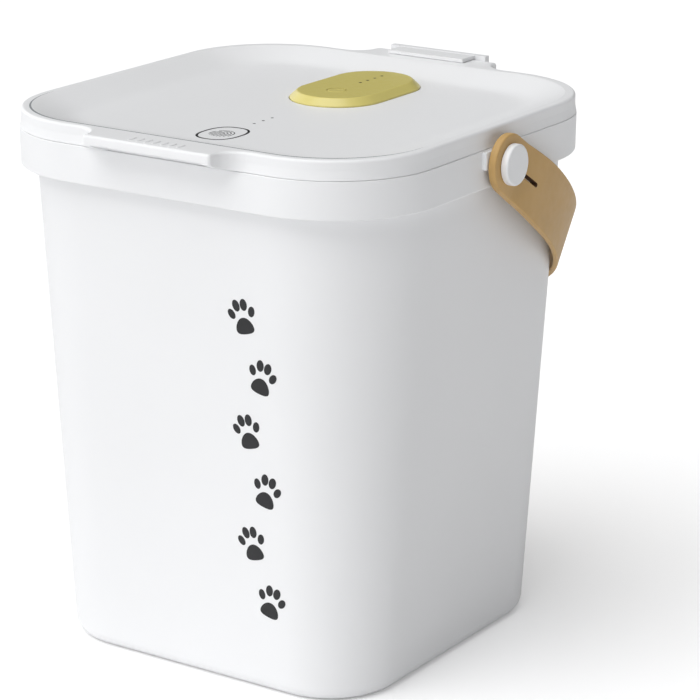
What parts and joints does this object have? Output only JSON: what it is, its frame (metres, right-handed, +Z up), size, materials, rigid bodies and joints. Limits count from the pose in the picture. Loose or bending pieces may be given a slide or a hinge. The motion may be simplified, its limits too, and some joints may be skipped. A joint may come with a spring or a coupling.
{
  "type": "pet food bin",
  "caption": "Tapered square pet food bin with a collar, a hinged vacuum lid with a sunken panel and a lift-out pump module, and a swinging strap handle.",
  "frame": {"origin": "centre of the bucket's flat base, on the floor", "axes": "+Z up, -Y is the front with the finger lip, +Y is the hinge side, +X is the right side"},
  "size_m": [0.272, 0.3001, 0.3025],
  "materials": {
    "white_plastic": "fine satin texture",
    "liner_plastic": "satin",
    "yellow_plastic": "satin",
    "grey_plastic": "satin",
    "dark_plastic": "gloss",
    "board": "satin solder mask",
    "cell_wrap": "shrink film",
    "strap": "smooth fine grain",
    "silicone": "matt silicone",
    "steel": "bright zinc"
  },
  "bodies": {
    "bin": {"bucket": "white_plastic", "rim_collar": "white_plastic", "hinge_bracket": "white_plastic", "hinge_pin": "steel", "bracket_screw_left": "steel", "bracket_screw_right": "steel", "strap_bush_left": "steel", "strap_bush_right": "steel", "strap_screw_left": "steel", "strap_screw_right": "steel", "strap_cap_left": "white_plastic", "strap_cap_right": "white_plastic"},
    "strap": {"strap_handle": "strap"},
    "lid": {"lid_shell": "white_plastic", "lid_liner": "liner_plastic", "lid_gasket": "silicone", "check_valve": "silicone", "hinge_leaf": "white_plastic", "leaf_screw_left": "steel", "leaf_screw_right": "steel", "touch_board": "board", "status_light_1": "dark_plastic", "status_light_2": "dark_plastic", "status_light_3": "dark_plastic", "liner_screw_1": "steel", "liner_screw_2": "steel", "liner_screw_3": "steel", "liner_screw_4": "steel", "liner_screw_5": "steel", "liner_screw_6": "steel"},
    "pump_module": {"pump_cover": "yellow_plastic", "pump_tray": "grey_plastic", "pump_screw_front": "steel", "pump_screw_rear": "steel", "pump_motor": "steel", "pump_head": "dark_plastic", "battery_cell": "cell_wrap", "usb_socket": "steel", "pump_board": "board", "level_light_1": "dark_plastic", "level_light_2": "dark_plastic", "level_light_3": "dark_plastic", "level_light_4": "dark_plastic", "port_seal": "silicone"},
    "button": {"release_button": "yellow_plastic"}
  },
  "joints": [
    {"name": "lid_hinge", "type": "hinge", "parent": "bin", "child": "lid", "pos_m": [0, 0.1435, 0.287], "axis": [-1, 0, 0], "range_deg": [0, 100]},
    {"name": "strap_swing", "type": "hinge", "parent": "bin", "child": "strap", "pos_m": [0, 0, 0.2804], "axis": [1, 0, 0], "range_deg": [0, 247]},
    {"name": "pump_lift", "type": "slide", "parent": "lid", "child": "pump_module", "axis": [0, 0, 1], "range_m": [0, 0.04]},
    {"name": "release_press", "type": "slide", "parent": "pump_module", "child": "button", "axis": [0, 0, -1], "range_m": [0, 0.0008]}
  ]
}
